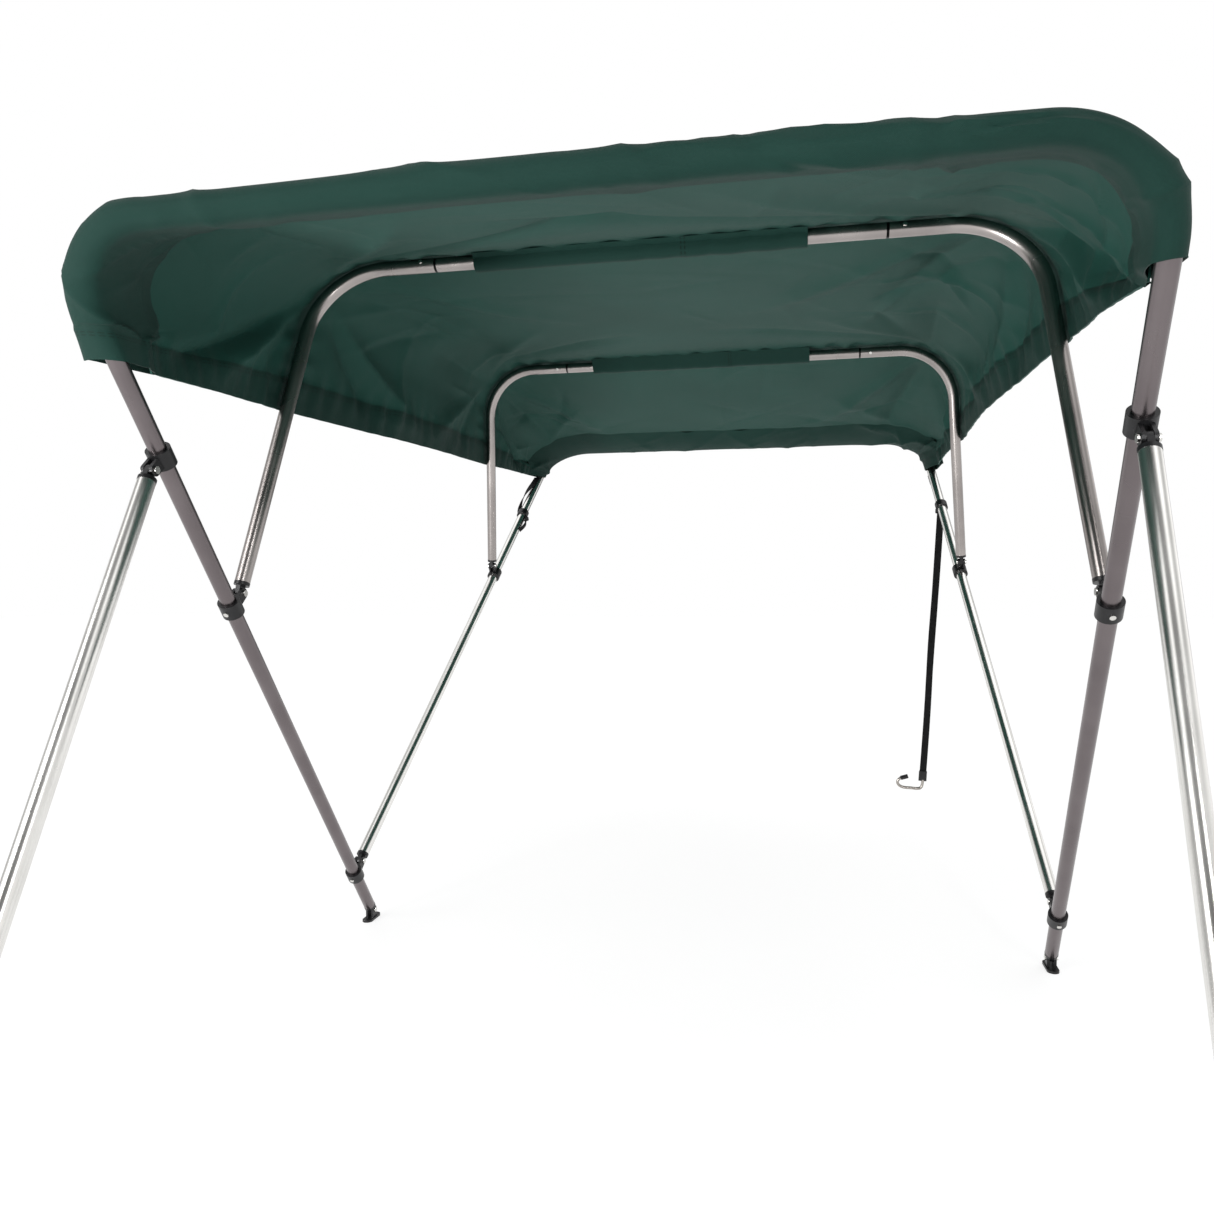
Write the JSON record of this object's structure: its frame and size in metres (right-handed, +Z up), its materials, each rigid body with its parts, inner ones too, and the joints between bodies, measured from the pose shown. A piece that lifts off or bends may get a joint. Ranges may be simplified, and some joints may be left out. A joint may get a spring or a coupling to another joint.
{
  "type": "boat bimini top",
  "caption": "Folding boat sun shade: a cloth canopy stretched over nested bent tube bows, with rear support poles, deck hinges and a front hold-down strap.",
  "frame": {"origin": "on the deck, midway between the two main deck hinges", "axes": "+X across the boat to the right, +Y forward, +Z up"},
  "size_m": [1.5268, 2.6765, 1.4003],
  "materials": {
    "tube_satin": "satin anodised",
    "tube_polished": "polished",
    "nylon_black": "moulded nylon",
    "stainless": "bright",
    "hook_steel": "bright, black ends",
    "canvas_green": "woven canvas",
    "canvas_dark": "woven canvas, doubled",
    "webbing_black": "woven webbing"
  },
  "bodies": {
    "root": {"main_deck_hinge_left": "nylon_black", "main_deck_hinge_right": "nylon_black", "rear_deck_hinge_left": "nylon_black", "rear_deck_hinge_right": "nylon_black", "deck_hinge_pins": "stainless"},
    "main_bow": {"main_tube_left": "tube_satin", "main_tube_right": "tube_satin", "main_crossbar": "tube_polished", "main_eye_end_left": "nylon_black", "main_eye_end_right": "nylon_black", "front_jaw_left": "nylon_black", "front_jaw_right": "nylon_black", "rear_inner_jaw_left": "nylon_black", "rear_inner_jaw_right": "nylon_black", "pole_jaw_left": "nylon_black", "pole_jaw_right": "nylon_black", "main_bow_pivot_bolts": "stainless", "main_bow_jaw_screws": "stainless", "canopy_rear_sleeve": "canvas_dark", "canopy_rear_panel": "canvas_green"},
    "front_bow": {"front_tube_left": "tube_polished", "front_tube_right": "tube_polished", "front_crossbar": "tube_polished", "front_eye_end_left": "nylon_black", "front_eye_end_right": "nylon_black", "front_inner_jaw_left": "nylon_black", "front_inner_jaw_right": "nylon_black", "front_bow_pivot_bolts": "stainless", "strap_slide_left": "nylon_black", "strap_slide_right": "nylon_black", "canopy_front_sleeve": "canvas_dark", "canopy_front_panel": "canvas_green", "canopy_corner_tabs": "webbing_black", "right_strap_webbing": "webbing_black", "right_strap_hook": "hook_steel", "left_strap_tail": "webbing_black"},
    "rear_inner_bow": {"rear_inner_tube_left": "tube_polished", "rear_inner_tube_right": "tube_polished", "rear_inner_crossbar": "tube_polished", "rear_inner_eye_end_left": "nylon_black", "rear_inner_eye_end_right": "nylon_black", "canopy_rear_inner_pocket": "canvas_dark", "canopy_middle_rear_panel": "canvas_green"},
    "front_inner_bow": {"front_inner_tube_left": "tube_polished", "front_inner_tube_right": "tube_polished", "front_inner_crossbar": "tube_polished", "front_inner_eye_end_left": "nylon_black", "front_inner_eye_end_right": "nylon_black", "canopy_front_inner_pocket": "canvas_dark", "canopy_middle_front_panel": "canvas_green"},
    "support_pole_left": {"support_pole_left": "tube_polished", "pole_eye_ends_left": "nylon_black"},
    "rear_inner_button_left": {"rear_inner_button_left": "stainless"},
    "front_inner_button_left": {"front_inner_button_left": "stainless"},
    "support_pole_right": {"support_pole_right": "tube_polished", "pole_eye_ends_right": "nylon_black"},
    "rear_inner_button_right": {"rear_inner_button_right": "stainless"},
    "front_inner_button_right": {"front_inner_button_right": "stainless"}
  },
  "joints": [
    {"name": "main_bow_tilt", "type": "hinge", "parent": "root", "child": "main_bow", "pos_m": [0, 0, 0.022], "axis": [-1, 0, 0], "range_deg": [0, 35]},
    {"name": "front_bow_fold", "type": "hinge", "parent": "main_bow", "child": "front_bow", "pos_m": [0, -0.08064, 0.16295], "axis": [1, 0, 0], "range_deg": [0, 85], "deforming": ["canopy_front_panel", "canopy_rear_panel", "canopy_middle_rear_panel", "canopy_middle_front_panel"]},
    {"name": "rear_inner_bow_fold", "type": "hinge", "parent": "main_bow", "child": "rear_inner_bow", "pos_m": [0, -0.6326, 0.78683], "axis": [1, 0, 0], "range_deg": [0, 56]},
    {"name": "front_inner_bow_fold", "type": "hinge", "parent": "front_bow", "child": "front_inner_bow", "pos_m": [0, 0.66608, 0.83489], "axis": [1, 0, 0], "range_deg": [-60, 0]},
    {"name": "support_pole_left_swing", "type": "hinge", "parent": "main_bow", "child": "support_pole_left", "pos_m": [0, -0.88082, 0.96778], "axis": [-1, 0, 0], "range_deg": [0, 90]},
    {"name": "support_pole_right_swing", "type": "hinge", "parent": "main_bow", "child": "support_pole_right", "pos_m": [0, -0.88082, 0.96778], "axis": [-1, 0, 0], "range_deg": [0, 90]},
    {"name": "rear_inner_button_left_press", "type": "slide", "parent": "rear_inner_bow", "child": "rear_inner_button_left", "axis": [0, 0.9426, -0.3338], "range_m": [0, 0.003], "stiffness_N_per_m": 800, "springref_m": -0.001},
    {"name": "rear_inner_button_right_press", "type": "slide", "parent": "rear_inner_bow", "child": "rear_inner_button_right", "axis": [0, 0.9426, -0.3338], "range_m": [0, 0.003], "stiffness_N_per_m": 800, "springref_m": -0.001},
    {"name": "front_inner_button_left_press", "type": "slide", "parent": "front_inner_bow", "child": "front_inner_button_left", "axis": [0, 0.9694, 0.2453], "range_m": [0, 0.003], "stiffness_N_per_m": 800, "springref_m": -0.001},
    {"name": "front_inner_button_right_press", "type": "slide", "parent": "front_inner_bow", "child": "front_inner_button_right", "axis": [0, 0.9694, 0.2453], "range_m": [0, 0.003], "stiffness_N_per_m": 800, "springref_m": -0.001}
  ],
  "couplings": [
    {"joint": "rear_inner_bow_fold", "follows": "front_bow_fold", "ratio": 0.6587},
    {"joint": "front_inner_bow_fold", "follows": "front_bow_fold", "ratio": -0.7058}
  ]
}
